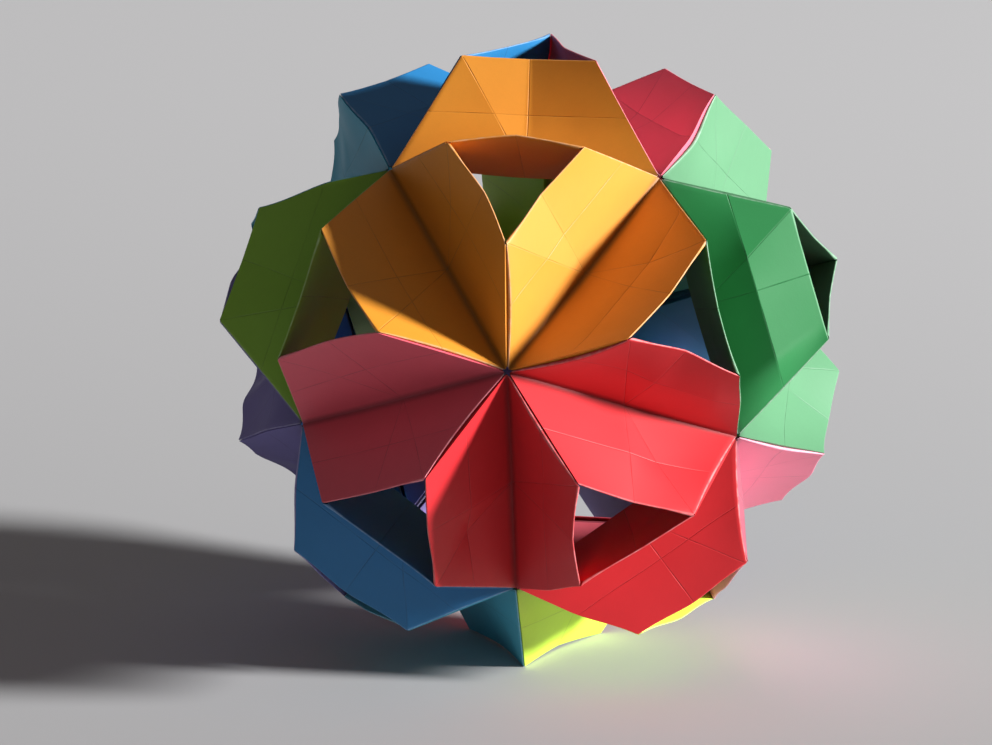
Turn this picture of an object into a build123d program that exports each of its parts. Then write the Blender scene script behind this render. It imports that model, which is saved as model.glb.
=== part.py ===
from build123d import *
import math
import os

# A paper ball of thirty folded units. Each unit runs along one edge of an icosahedron. A soft
# valley fold lies along its middle, and a wing rises on each side as half a regular hexagon.
# Three wings from three units lean together over every face and leave a triangular window, and
# five units meet at every sunken point. The ball rests on the rim of one window.

# Driving dimensions, in millimetres and degrees
sheet_width = 90.0
paper = 0.10
layer_air = 0.04
ridge_air = 0.05
valley_radius = 0.4
door_gap = 0.3
ball_turn = -5.8

# One square sheet gives the unit's size: its two edges are folded in to the middle, and its
# ends are folded on lines at 60 degrees.
wing_height = sheet_width / 4
unit_length = sheet_width / math.sqrt(3)
leg_length = unit_length / 2
LEG_ANGLE = 60.0

# Flats that stand for the round of each fold: at a free edge, along the valley and at a crease
rim_flat_count = 4
valley_flat_count = 4
crease_flat_count = 2

# Depths of the layers of a wing, from its outer face inwards. The front sheet is followed by
# the front of the pocket, the neighbour's doubled tab, the back of the pocket, and the door.
pocket_front_depth = paper + layer_air
tab_depth = pocket_front_depth + paper + layer_air
tab_thickness = 2 * paper
pocket_back_depth = tab_depth + tab_thickness + layer_air
door_depth = pocket_back_depth + paper + layer_air
wing_thickness = door_depth + paper

# Angles of the solid: a wing leans on its face as the side of a regular tetrahedron does.
face_angle = math.degrees(math.acos(-math.sqrt(5) / 3))
lean = math.degrees(math.acos(1 / 3))
wing_rise = lean - (90 - face_angle / 2)

# The tab creases at its own depth under the neighbour's folded edge, which sets every leg back
# from the line where the outer faces of two wings would meet.
leg_setback = tab_depth / math.sin(math.radians(lean))
tip_gap = leg_setback / math.sin(math.radians(LEG_ANGLE))
icosa_edge = unit_length + 2 * tip_gap
rim_radius = wing_thickness / 2
leg_fold_radius = (pocket_front_depth + paper) / 2
pocket_fold_radius = (pocket_back_depth + paper - pocket_front_depth) / 2
valley_run = valley_radius * math.tan(math.radians(wing_rise))

# Directions of the right-hand wing in the unit's frame: x along the valley, z out of the ball,
# and the angle at which a section's circles reach their lowest point
ALONG = Vector(1, 0, 0)
UP_WING = Vector(0, math.cos(math.radians(wing_rise)), math.sin(math.radians(wing_rise)))
OUTWARD = ALONG.cross(UP_WING)
LOWEST = -90.0


def on_wing(along, up, depth=0.0):
    """Point of the right-hand wing, by its place along the valley, up the wing and inwards."""
    return ALONG * along + UP_WING * up - OUTWARD * depth


# Corners of the wing: the pocket leg is at its low end and the tab leg at its high end
pocket_tip = on_wing(-unit_length / 2, 0)
pocket_top = on_wing(-unit_length / 4, wing_height)
tab_tip = on_wing(unit_length / 2, 0)
tab_top = on_wing(unit_length / 4, wing_height)
valley_middle = on_wing(0, 0)


def inward_of(start, end):
    """Direction across the wing to the left of a line, which is the wing's side of its edge."""
    return OUTWARD.cross((end - start).normalized())


# Directions across the wing from its pocket leg, along the tab's crease, out along the tab from
# the crease, and through the tab's thickness
pocket_side = inward_of(pocket_top, pocket_tip)
tab_side = inward_of(tab_tip, tab_top)
tab_crease = (tab_top - tab_tip).normalized()
tab_bend = math.radians(lean)
tab_away = tab_side * math.cos(tab_bend) - OUTWARD * math.sin(tab_bend)
tab_through = tab_side * math.sin(tab_bend) + OUTWARD * math.cos(tab_bend)


def arc_points(centre, radius, first, last, flats):
    """Points of an arc from one angle to another, in degrees, which a fold is drawn through."""
    angles = [math.radians(first + (last - first) * step / flats) for step in range(flats + 1)]
    return [(centre[0] + radius * math.cos(a), centre[1] + radius * math.sin(a)) for a in angles]


def turn_points(radius, inset, flats):
    """Points of a half turn with its outermost line at x = 0, or drawn that far inside it."""
    return arc_points((radius, -radius), radius - inset, 90, 270, flats)


def sheet_turn(radius, front_run, back_run, flats):
    """Section of a sheet that turns back on itself, with its outermost point at x = 0."""
    front_end = radius + front_run
    back_end = radius + back_run
    outside = [(front_end, 0)] + turn_points(radius, 0, flats) + [(back_end, -2 * radius)]
    inside = [(front_end, -paper)] + turn_points(radius, paper, flats)
    inside.append((back_end, paper - 2 * radius))
    points = outside + inside[::-1]
    corners = [p for p, q in zip(points, points[1:] + points[:1]) if math.dist(p, q) > 1e-6]
    return make_face(Polyline(corners, close=True))


def along_edge(section, start, end, depth):
    """A section run along a line of the wing, with x across the wing and y outwards."""
    direction = end - start
    origin = start - OUTWARD * depth
    plane = Plane(origin=origin, x_dir=inward_of(start, end), z_dir=direction.normalized())
    return extrude(plane * section, amount=direction.length)


def keep_side(solid, point, direction):
    """The part of a solid that lies on one side of a plane."""
    return split(solid, bisect_by=Plane(origin=point, z_dir=direction), keep=Keep.TOP)


def section_point(up, depth, side):
    """Point across the unit, on the right wing for side 1 and on the left for side -1."""
    point = on_wing(0, up, depth)
    return (side * point.Y, point.Z)


def front_sheet():
    """Both wings of the front sheet, bent softly along the valley, up to their legs."""
    top = wing_height - rim_radius
    bend_centre = (0, valley_radius / math.cos(math.radians(wing_rise)))
    bend = (LOWEST - wing_rise, LOWEST + wing_rise, valley_flat_count)
    groove = arc_points(bend_centre, valley_radius, *bend)
    back = arc_points(bend_centre, valley_radius + paper, *bend)
    groove = [section_point(top, 0, -1)] + groove + [section_point(top, 0, 1)]
    back = [section_point(top, paper, -1)] + back + [section_point(top, paper, 1)]
    outline = make_face(Polyline(groove + back[::-1], close=True))
    sheet = extrude(Plane.YZ * outline, amount=unit_length, both=True)
    for wing in range(2):
        sheet = keep_side(sheet, pocket_tip + pocket_side * leg_fold_radius, pocket_side)
        sheet = keep_side(sheet, tab_tip, tab_through)
        sheet = sheet.rotate(Axis.Z, 180)
    return sheet


def door():
    """The strip turned in over the free edge, which lies behind the wing down to the valley."""
    section = sheet_turn(rim_radius, 0, wing_height - rim_radius - door_gap, rim_flat_count)
    right = on_wing(unit_length, wing_height)
    left = on_wing(-unit_length, wing_height)
    strip = along_edge(section, right, left, 0)
    strip = keep_side(strip, pocket_tip, pocket_side)
    return keep_side(strip, tab_tip, tab_through)


def pocket():
    """The bag inside the wing: its front is turned in at the leg, its fold runs to the middle
    of the valley, and its back lies against the door."""
    bag_depth = leg_length * math.sin(math.radians(LEG_ANGLE))
    section = sheet_turn(pocket_fold_radius, bag_depth, bag_depth, crease_flat_count)
    bag = along_edge(section, valley_middle, pocket_top, pocket_front_depth)
    bag = keep_side(bag, pocket_tip + pocket_side * leg_fold_radius, pocket_side)
    crease = make_face(Polyline(turn_points(leg_fold_radius, 0, crease_flat_count), close=True))
    bag += along_edge(crease, pocket_top, pocket_tip, 0)
    bag = keep_side(bag, on_wing(0, wing_height - rim_radius), -UP_WING)
    return keep_side(bag, on_wing(0, valley_run), UP_WING)


def tab():
    """The doubled end of the wing, creased over the ridge to lie in the neighbour's pocket."""
    slope = math.sin(math.radians(LEG_ANGLE))
    start = valley_run / slope
    end = leg_length - rim_radius / slope
    tip = (start + end) / 2, (end - start) * slope
    plane = Plane(origin=tab_tip, x_dir=tab_crease, z_dir=tab_crease.cross(tab_away))
    outline = make_face(Polyline((start, 0), (end, 0), tip, close=True))
    return extrude(plane * outline, amount=tab_thickness, dir=tab_through)


def wing_layers():
    """What one wing has behind its front sheet: its door and pocket. They stop at the ridges,
    on the planes that halve the angle between two wings."""
    layers = door() + pocket()
    half_lean = math.radians(lean / 2)
    for start, end in ((pocket_top, pocket_tip), (tab_tip, tab_top)):
        across = inward_of(start, end)
        ridge = start - across * leg_setback
        clear_side = across * math.sin(half_lean) + OUTWARD * math.cos(half_lean)
        layers = keep_side(layers, ridge + clear_side * ridge_air, clear_side)
    return layers


def folded_unit():
    """The whole unit, which is the same after half a turn about its outward axis."""
    wing = wing_layers() + tab()
    return front_sheet() + wing + wing.rotate(Axis.Z, 180)


# The twelve sunken points, in four level rings of three from the resting window upwards. For an
# edge of one, IN_RADIUS reaches the middle of a face and OUT_RADIUS reaches a point.
IN_RADIUS = (3 * math.sqrt(3) + math.sqrt(15)) / 12
OUT_RADIUS = math.sqrt(10 + 2 * math.sqrt(5)) / 4
SMALL_RING = 1 / math.sqrt(3)
WIDE_RING = SMALL_RING * (1 + math.sqrt(5)) / 2
WIDE_LEVEL = math.sqrt(OUT_RADIUS**2 - WIDE_RING**2)
RINGS = {
    "foot": (SMALL_RING, -IN_RADIUS, {"front": 0, "right": 120, "left": 240}),
    "low": (WIDE_RING, -WIDE_LEVEL, {"right": 60, "back": 180, "left": 300}),
    "high": (WIDE_RING, WIDE_LEVEL, {"front": 0, "right": 120, "left": 240}),
    "top": (SMALL_RING, IN_RADIUS, {"right": 60, "back": 180, "left": 300}),
}


def rim_height():
    """How far the rim of a window stands out from the face of the icosahedron."""
    slant = math.radians(lean)
    return wing_height * math.sin(slant) - rim_radius * math.cos(slant)


def sunken_points():
    """The place of every sunken point, with the ball standing on the rim of a window."""
    ball_centre = IN_RADIUS * icosa_edge + rim_height()
    places = {}
    for ring, (radius, level, stations) in RINGS.items():
        for side, angle in stations.items():
            turn = math.radians(angle + ball_turn - 90)
            places[f"{ring} {side}"] = Vector(
                radius * icosa_edge * math.cos(turn),
                radius * icosa_edge * math.sin(turn),
                level * icosa_edge + ball_centre,
            )
    return places, Vector(0, 0, ball_centre)


# Every unit, by the two sunken points that it joins and the colour of its sheet
UNITS = [
    ("high front", "top left", "orange"),
    ("high front", "top right", "orange"),
    ("top left", "top right", "orange"),
    ("high front", "low right", "red"),
    ("high front", "foot front", "red"),
    ("low right", "foot front", "red"),
    ("high front", "low left", "rose"),
    ("low left", "foot front", "blue"),
    ("top left", "low left", "lime"),
    ("top right", "low right", "dark_green"),
    ("top left", "top back", "blue"),
    ("top left", "high left", "light_blue"),
    ("top right", "top back", "crimson"),
    ("top right", "high right", "light_green"),
    ("low right", "high right", "light_green"),
    ("low right", "foot right", "pink"),
    ("foot front", "foot right", "yellow"),
    ("foot front", "foot left", "teal"),
    ("low left", "high left", "purple"),
    ("low left", "foot left", "purple"),
    ("top back", "high right", "pink"),
    ("high right", "foot right", "dark_green"),
    ("foot right", "foot left", "rose"),
    ("foot left", "high left", "blue"),
    ("high left", "top back", "teal"),
    ("low back", "top back", "yellow"),
    ("low back", "high right", "light_blue"),
    ("low back", "foot right", "purple"),
    ("low back", "foot left", "purple"),
    ("low back", "high left", "lime"),
]


def unit_place(first, second, centre):
    """Location of a unit whose valley runs from one sunken point to the next."""
    middle = (first + second) * 0.5
    plane = Plane(origin=middle, x_dir=second - first, z_dir=middle - centre)
    return Location(plane)


def main():
    """Folds one unit, sets it on all thirty edges and writes each as its own sheet."""
    os.makedirs("parts", exist_ok=True)
    unit = folded_unit()
    places, centre = sunken_points()
    counts = {}
    for first, second, colour in UNITS:
        counts[colour] = counts.get(colour, 0) + 1
        name = f"{colour}_unit_{counts[colour]}"
        sheet = unit.moved(unit_place(places[first], places[second], centre))
        sheet.label = name
        export_step(sheet, os.path.join("parts", f"{name}.step"))
    print(f"one unit: {unit.volume:.1f} mm3, valid {unit.is_valid}, {len(unit.solids())} solid")
    print(f"icosahedron edge {icosa_edge:.2f}, wing thickness {wing_thickness:.2f}")


main()
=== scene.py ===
"""Looks of a paper ball: thirty squares of coloured paper, each folded into the same unit.

A unit is laid out flat on its sheet as a grid, scored, and folded: a soft valley runs along its
middle, and each wing has a turned-in pocket edge, a tab, and a door strip folded in behind its
free edge. The unit then springs a little out of shape, as folded paper does, and is set along one
edge of an icosahedron. Lengths are in metres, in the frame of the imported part.
"""

import logging
import math
import random
from dataclasses import dataclass, field
from enum import Enum

import bmesh
import bpy
from mathutils import Matrix, Vector, noise


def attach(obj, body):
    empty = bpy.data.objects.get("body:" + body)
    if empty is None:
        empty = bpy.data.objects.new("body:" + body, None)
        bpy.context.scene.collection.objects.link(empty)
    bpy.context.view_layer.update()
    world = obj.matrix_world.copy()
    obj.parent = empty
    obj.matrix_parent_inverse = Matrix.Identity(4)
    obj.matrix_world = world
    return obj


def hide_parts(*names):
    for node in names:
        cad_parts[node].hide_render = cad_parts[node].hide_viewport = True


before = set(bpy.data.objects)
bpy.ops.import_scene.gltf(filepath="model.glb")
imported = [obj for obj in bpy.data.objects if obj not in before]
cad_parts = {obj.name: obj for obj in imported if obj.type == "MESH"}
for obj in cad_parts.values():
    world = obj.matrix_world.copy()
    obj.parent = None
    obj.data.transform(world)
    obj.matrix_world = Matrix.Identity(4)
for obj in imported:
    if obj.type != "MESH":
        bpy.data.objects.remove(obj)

log = logging.getLogger("paper_ball")
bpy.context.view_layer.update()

MM = 0.001
UV_NAME = "sheet"
UV_SPAN = 100 * MM

# How far off a crease, a cut or a leg a point may lie and still count as on it
ON_CREASE = 1e-6
ON_CUT = 1e-7
ON_LEG = 1e-8

# White that the painted highlights on folded edges and crease lines pale the colour toward
WHITE = (1.0, 1.0, 1.0, 1.0)
PLAIN = (0.8, 0.8, 0.8, 1.0)


class Tone(Enum):
    """Colours of the memo sheets. The value is the word that node and slot names begin with."""

    ORANGE = "orange"
    RED = "red"
    ROSE = "rose"
    CRIMSON = "crimson"
    PINK = "pink"
    YELLOW = "yellow"
    LIME = "lime"
    LIGHT_GREEN = "light_green"
    DARK_GREEN = "dark_green"
    TEAL = "teal"
    LIGHT_BLUE = "light_blue"
    BLUE = "blue"
    PURPLE = "purple"


def spaced(*spans: tuple[float, int]) -> list[float]:
    """Stations from 0 to the end of each span in turn, evenly spaced within a span.

    Args:
        spans: the end of each span and how many steps it is divided into.

    Returns:
        The stations in rising order.
    """
    stations = [0.0]
    for end, count in spans:
        start = stations[-1]
        stations += [start + (end - start) * step / count for step in range(1, count + 1)]
    return stations


@dataclass(frozen=True)
class SheetFolds:
    """Sizes of one square sheet and of the folds that turn it into a unit.

    Attributes:
        side: side of the square sheet.
        paper: thickness of the paper.
        layer_air: air between two layers that lie on each other.
        ridge_air: air from a sheet's end to the plane that halves the angle at a ridge.
        valley_softness: height over which the valley is rounded.
        door_gap: how far short of the valley the door strip ends.
        flap_reach: width of the flap that is turned in at the pocket leg.
        tab_reach: width of the tab past its crease.
        leg_angle: angle of both legs to the valley.
        lean: angle between two wings that meet at a ridge.
        face_angle: angle between two faces of the icosahedron.
    """

    side: float = 90.0 * MM
    paper: float = 0.10 * MM
    layer_air: float = 0.04 * MM
    ridge_air: float = 0.05 * MM
    valley_softness: float = 0.35 * MM
    door_gap: float = 0.3 * MM
    flap_reach: float = 1.8 * MM
    tab_reach: float = 1.5 * MM
    leg_angle: float = math.radians(60)
    lean: float = math.acos(1 / 3)
    face_angle: float = math.acos(-math.sqrt(5) / 3)

    @property
    def wing_height(self) -> float:
        """Height of a wing, which is a quarter of the sheet."""
        return self.side / 4

    @property
    def length(self) -> float:
        """Length of the valley from tip to tip."""
        return self.side / math.sqrt(3)

    @property
    def tab_depth(self) -> float:
        """Depth of the neighbour's tab under the outer face of the wing that holds it."""
        return 2 * (self.paper + self.layer_air)

    @property
    def rim_radius(self) -> float:
        """Radius of the turn at the free edge, which goes round everything inside the wing."""
        return (self.tab_depth + 4 * self.paper + 2 * self.layer_air) / 2

    @property
    def leg_radius(self) -> float:
        """Radius of the turn at the pocket leg."""
        return (2 * self.paper + self.layer_air) / 2

    @property
    def setback(self) -> float:
        """Distance of each leg from the line where the outer faces of two wings would meet."""
        return self.tab_depth / math.sin(self.lean)

    @property
    def edge(self) -> float:
        """Edge of the icosahedron that the sunken points lie on."""
        return self.length + 2 * self.setback / math.sin(self.leg_angle)

    @property
    def rise(self) -> float:
        """Angle of a wing above the tangent plane at the valley."""
        return self.lean - (math.pi - self.face_angle) / 2

    @property
    def front_top(self) -> float:
        """Height on the front sheet at which the turn over the free edge begins."""
        return self.wing_height - self.rim_radius

    @property
    def rim_length(self) -> float:
        """Length of paper in the turn over the free edge."""
        return math.pi * self.rim_radius

    @property
    def leg_turn_length(self) -> float:
        """Length of paper in the turn at the pocket leg."""
        return math.pi * self.leg_radius

    @property
    def up_wing(self) -> Vector:
        """Direction up the wing on the side of positive y."""
        return Vector((0, math.cos(self.rise), math.sin(self.rise)))

    @property
    def outward(self) -> Vector:
        """Direction out of the front face of that wing."""
        return Vector((0, -math.sin(self.rise), math.cos(self.rise)))


@dataclass(frozen=True)
class WingShape:
    """How a wing has sprung out of its flat form. Depths are toward the window beside it.

    Attributes:
        bow: depth of the smooth curve at the middle of the free edge.
        belly: depth of the smooth bulge at half height.
        peak: depth of the upright crease at the free edge.
        middle: depth of the upright crease at half height.
        corner: depth halfway along the crease from the middle of the valley to the pocket's corner.
        half: depth of the crease at half height, along its whole length.
        lift: how far the pocket's folded edge stands off the tab.
        slip: how far that edge is drawn back from the ridge.
        door_spring: how far the door strip's own edge stands off the front.
        ripple: height of the small waves in the sheet.
        grip: share of the wing's length, beside the tab, over which the half crease fades out.
        bow_power: power of the height by which the bow grows toward the free edge.
    """

    bow: float = 0.5 * MM
    belly: float = 0.1 * MM
    peak: float = 0.5 * MM
    middle: float = 0.3 * MM
    corner: float = 0.2 * MM
    half: float = 0.0
    lift: float = 0.15 * MM
    slip: float = 0.1 * MM
    door_spring: float = 0.5 * MM
    ripple: float = 0.07 * MM
    grip: float = 0.14
    bow_power: float = 1.6

    @classmethod
    def chance(cls, draw: random.Random) -> "WingShape":
        """A shape drawn at random within what the visible wings of such a ball show.

        Args:
            draw: the seeded source of chance.

        Returns:
            The shape.
        """
        return cls(
            bow=draw.uniform(0.2, 0.9) * MM,
            belly=draw.uniform(-0.2, 0.3) * MM,
            peak=draw.uniform(0.1, 0.8) * MM,
            middle=draw.uniform(-0.1, 0.5) * MM,
            corner=draw.uniform(-0.2, 0.4) * MM,
            half=draw.uniform(-0.5, 0.2) * MM,
            lift=draw.uniform(0.05, 0.3) * MM,
            slip=draw.uniform(0.0, 0.35) * MM,
            door_spring=draw.uniform(0.2, 0.8) * MM,
            ripple=draw.uniform(0.05, 0.11) * MM,
        )

    @classmethod
    def seen(cls, *sizes: float) -> "WingShape":
        """A shape read from the photograph: its sizes from bow to slip in millimetres."""
        return cls(*(size * MM for size in sizes))

    def sunk(self, share: float, level: float, crease: float) -> float:
        """How far a point of the wing lies from the flat wing, toward the window.

        Args:
            share: place between the pocket leg, 0, and the tab leg, 1.
            level: place between the valley, 0, and the free edge, 1.
            crease: share at which the crease to the pocket's top corner crosses this level.

        Returns:
            The distance toward the window.
        """
        arch = math.sin(math.pi * share)
        smooth = arch * (self.bow * level**self.bow_power + self.belly * math.sin(math.pi * level))
        held = min(share / crease, (1 - share) / self.grip, 1) if crease > 0 else 1
        smooth += self.half * (1 - abs(2 * level - 1)) * held
        upper = max(2 * level - 1, 0)
        centre = self.middle * min(2 * level, 1) + (self.peak - self.middle) * upper
        side = self.corner * (1 - abs(2 * level - 1))
        if share >= 0.5:
            return smooth + centre * 2 * (1 - share)
        if share >= crease:
            along = (share - crease) / (0.5 - crease)
            return smooth + side + (centre - side) * along
        return smooth + side * share / crease


@dataclass(frozen=True)
class Wing:
    """One wing of a unit, on the side of positive y, with its pocket leg at negative x.

    Attributes:
        folds: sizes of the sheet and its folds.
        shape: how the wing has sprung.
        spot: where in the noise its ripple is read.
        valley_row: height of the closely divided band beside the valley.
        edge_row: height of the narrow row below the turn over the free edge.
        steps_along: how many parts the sheet is divided into from leg to leg.
        valley_steps: how many parts the band beside the valley has.
        lower_steps: how many there are from it to half height.
        upper_steps: how many there are from half height to the narrow row.
        rim_steps: how many the turn over the free edge has.
        door_steps: how many the door strip has.
        turn_steps: how many the turn at the pocket leg has.
        flap_steps: how many the flap behind the pocket leg has.
        tab_steps: how many the tab has.
        lift_reach: share of the wing's length over which the pocket's lift fades out.
        snug_share: how full the turn over the free edge is where no pocket is inside it.
        snug_reach: share of the wing's length over which the turn goes down to that.
        tab_slant: how far the tab's top edge runs down for each length past the crease.
        ripple_size: length of the small waves in the sheet.
        ripple_rise: how fast they grow from the valley, where they are held.
    """

    folds: SheetFolds
    shape: WingShape
    spot: Vector
    valley_row: float = 1.4 * MM
    edge_row: float = 0.15 * MM
    steps_along: int = 40
    valley_steps: int = 3
    lower_steps: int = 10
    upper_steps: int = 11
    rim_steps: int = 6
    door_steps: int = 14
    turn_steps: int = 4
    flap_steps: int = 2
    tab_steps: int = 2
    lift_reach: float = 0.3
    snug_share: float = 0.5
    snug_reach: float = 0.25
    tab_slant: float = 4.5
    ripple_size: float = 9.0 * MM
    ripple_rise: float = 4.0

    @property
    def rows(self) -> list[float]:
        """Distances from the valley at which the sheet is divided.

        Returns:
            The distances up the front, over the free edge and down the door strip.
        """
        folds = self.folds
        rim_end = folds.front_top + folds.rim_length
        door_end = rim_end + folds.front_top - folds.door_gap
        return spaced(
            (self.valley_row, self.valley_steps),
            (folds.wing_height / 2, self.lower_steps),
            (folds.front_top - self.edge_row, self.upper_steps),
            (folds.front_top, 1),
            (rim_end, self.rim_steps),
            (door_end, self.door_steps),
        )

    @property
    def flap_columns(self) -> list[float]:
        """Distances past the pocket leg at which the turn and the flap are divided."""
        turn = self.folds.leg_turn_length
        return spaced((turn, self.turn_steps), (turn + self.folds.flap_reach, self.flap_steps))

    @property
    def tab_columns(self) -> list[float]:
        """Distances past the tab leg at which the tab is divided."""
        return spaced((self.folds.tab_reach, self.tab_steps))

    def profile(self, up: float) -> tuple[float, float]:
        """Where the sheet has got to, seen along the valley.

        Args:
            up: distance along the sheet from the valley.

        Returns:
            The height on the wing and the depth behind its outer face.
        """
        folds = self.folds
        past_front = up - folds.front_top
        if past_front <= 0:
            return up, 0.0
        if past_front < folds.rim_length:
            turn = past_front / folds.rim_radius
            height = folds.front_top + folds.rim_radius * math.sin(turn)
            return height, folds.rim_radius * (1 - math.cos(turn))
        return folds.front_top - (past_front - folds.rim_length), 2 * folds.rim_radius

    def legs(self, height: float) -> tuple[float, float]:
        """Places along the valley of the pocket leg and the tab leg at a height."""
        inset = height / math.tan(self.folds.leg_angle)
        return inset - self.folds.length / 2, self.folds.length / 2 - inset

    def ends(self, up: float) -> tuple[float, float]:
        """Where the wing's sheet begins and ends along the valley.

        Args:
            up: distance along the sheet from the valley.

        Returns:
            The start at the pocket leg and the end at the tab leg. Behind the front they draw in
            to the planes that halve the angle between two wings.
        """
        folds = self.folds
        height, depth = self.profile(up)
        half_lean = folds.lean / 2
        mitre = (folds.ridge_air + depth * math.cos(half_lean)) / math.sin(half_lean)
        inset = mitre - folds.setback
        slope = math.sin(folds.leg_angle)
        pocket_leg, tab_leg = self.legs(height)
        tab_inset = folds.leg_radius if up == 0 else max(inset, 0)
        return pocket_leg + max(inset, folds.leg_radius) / slope, tab_leg - tab_inset / slope

    def lay_flat(self) -> bmesh.types.BMesh:
        """Lays out the wing's part of the sheet, unfolded.

        Returns:
            The sheet as a grid, with x along the valley and y away from it.
        """
        rows, flap, tab = self.rows, self.flap_columns, self.tab_columns
        last_row = len(rows) - 1
        last_column = len(flap) - 1 + self.steps_along + len(tab) - 1
        bm = bmesh.new()
        bmesh.ops.create_grid(bm, x_segments=last_column, y_segments=last_row, size=0.5)
        slope = math.sin(self.folds.leg_angle)
        spare = []
        # The grid runs from -0.5 to 0.5 both ways, which tells each vertex its column and row
        for vert in bm.verts:
            column = round((vert.co.x + 0.5) * last_column) - (len(flap) - 1)
            row = round((vert.co.y + 0.5) * last_row)
            up = rows[row]
            start, end = self.ends(up)
            past_tab = column - self.steps_along
            if column < 0:
                along = start - flap[-column] / slope
            elif past_tab > 0:
                along = end + tab[past_tab] / slope
            else:
                along = start + (end - start) * column / self.steps_along
            beyond_legs = column < 0 or past_tab > 0
            if beyond_legs and not 0 < up <= self.folds.front_top:
                spare.append(vert)
            vert.co = Vector((along, up, 0))
        bmesh.ops.delete(bm, geom=spare, context="VERTS")
        return bm

    def score(self, bm: bmesh.types.BMesh) -> None:
        """Cuts the crease to the pocket's top corner, and marks every crease and raw edge sharp.

        Args:
            bm: the flat wing.
        """
        folds = self.folds
        front = [f for f in bm.faces if f.calc_center_median().y < folds.front_top]
        parts = set(front)
        for face in front:
            parts.update(face.edges, face.verts)
        across = Vector((math.sin(folds.leg_angle), math.cos(folds.leg_angle), 0))
        bmesh.ops.bisect_plane(
            bm, geom=list(parts), dist=ON_CUT, plane_co=Vector(), plane_no=across
        )
        on_crease = (
            lambda p: abs(p.x) < ON_CREASE,
            lambda p: abs(p.y - folds.wing_height / 2) < ON_CREASE,
            lambda p: abs(p.dot(across)) < ON_CREASE and p.x < 0,
            lambda p: abs(p.x - self.ends(p.y)[1]) < ON_CREASE and p.y < folds.front_top + ON_CREASE,
        )
        for edge in bm.edges:
            ends = [v.co for v in edge.verts]
            if edge.is_boundary or any(all(map(test, ends)) for test in on_crease):
                edge.smooth = False

    def map_sheet(self, bm: bmesh.types.BMesh) -> None:
        """Writes the flat layout to the UV map, so that creases and edges are found on it.

        Args:
            bm: the flat wing.
        """
        layer = bm.loops.layers.uv.new(UV_NAME)
        for face in bm.faces:
            face.smooth = True
            for loop in face.loops:
                loop[layer].uv = (0.5 + loop.vert.co.x / UV_SPAN, loop.vert.co.y / UV_SPAN)

    def folded(self, along: float, up: float) -> Vector:
        """Where a point of the flat sheet goes when the unit is folded and has sprung.

        Args:
            along: place along the valley on the flat sheet.
            up: distance from the valley on the flat sheet.

        Returns:
            The point in the unit's frame.
        """
        folds, shape = self.folds, self.shape
        slope = math.sin(folds.leg_angle)
        height, depth = self.profile(up)
        start, end = self.ends(up)
        past_tab = (along - end) * slope
        past_pocket = (start - along) * slope
        if past_tab > ON_LEG:
            return self.on_tab(height, past_tab)
        pocket_leg, tab_leg = self.legs(height)
        level = min(height / folds.wing_height, 1)
        share = min(max((along - pocket_leg) / (tab_leg - pocket_leg), 0), 1)
        loose = math.sin(math.pi * level) * max(0, 1 - share / self.lift_reach) ** 2
        lift = shape.lift * loose
        if past_pocket > ON_LEG:
            radius = folds.leg_radius + lift / 2
            turn = min(past_pocket / folds.leg_radius, math.pi)
            under = max(past_pocket - folds.leg_turn_length, 0)
            along = start + (under - radius * math.sin(turn)) / slope
            share = min(max((along - pocket_leg) / (tab_leg - pocket_leg), 0), 1)
            depth = radius * (1 - math.cos(turn))
        crease = (-height / math.tan(folds.leg_angle) - pocket_leg) / (tab_leg - pocket_leg)
        sunk = shape.sunk(share, level, crease)
        spot = self.spot + Vector((along, height, 0)) / self.ripple_size
        wave = shape.ripple * noise.noise(spot) * math.sin(math.pi * share)
        sunk += wave * min(1, self.ripple_rise * level)
        if up <= folds.front_top:
            return self.on_wing(along + shape.slip * loose / slope, height, depth + sunk - lift)
        behind = depth / (2 * folds.rim_radius)
        sunk += shape.door_spring * (1 - level) * math.sin(math.pi * share) * behind
        snug = self.snugness(share - crease)
        if up < folds.front_top + folds.rim_length:
            height = folds.front_top + (height - folds.front_top) * snug
        return self.on_wing(along, height, depth * snug + sunk)

    def snugness(self, past_crease: float) -> float:
        """How full the turn over the free edge is: less beyond the pocket, which holds no layers.

        Args:
            past_crease: share of the wing's length past the crease that the pocket ends at.

        Returns:
            The share of the full turn.
        """
        way = min(max(past_crease / self.snug_reach, 0), 1)
        return 1 - (1 - self.snug_share) * way * way * (3 - 2 * way)

    def on_wing(self, along: float, height: float, depth: float) -> Vector:
        """Point of the wing, with the valley softened to a curve.

        Args:
            along: place along the valley.
            height: distance up the wing.
            depth: distance in behind the wing's outer face.

        Returns:
            The point in the unit's frame.
        """
        soft = self.folds.valley_softness
        raised = (math.hypot(height, soft) - height) * math.sin(self.folds.rise)
        flat = self.folds.up_wing * height - self.folds.outward * depth
        return Vector((along, flat.y, flat.z + raised))

    def on_tab(self, height: float, past: float) -> Vector:
        """Point of the tab, which is creased over the ridge into the neighbour's pocket.

        Args:
            height: height of the point's row on the wing.
            past: distance from the crease.

        Returns:
            The point in the unit's frame.
        """
        folds = self.folds
        cosine, sine = math.cos(folds.leg_angle), math.sin(folds.leg_angle)
        leg = folds.up_wing * sine - Vector((cosine, 0, 0))
        inward_side = -folds.up_wing * cosine - Vector((sine, 0, 0))
        away = inward_side * math.cos(folds.lean) - folds.outward * math.sin(folds.lean)
        crease_length = folds.front_top / sine
        low = past * cosine / sine
        high = crease_length - past * self.tab_slant
        place = low + (high - low) * height / folds.front_top
        tip = Vector((folds.length / 2, 0, 0))
        return tip + leg * place + away * past

    def build(self) -> bmesh.types.BMesh:
        """Lays out, scores and folds the wing.

        Returns:
            The wing as a sheet with no thickness, in the unit's frame.
        """
        bm = self.lay_flat()
        self.score(bm)
        self.map_sheet(bm)
        for vert in bm.verts:
            vert.co = self.folded(vert.co.x, vert.co.y)
        return bm


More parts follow.
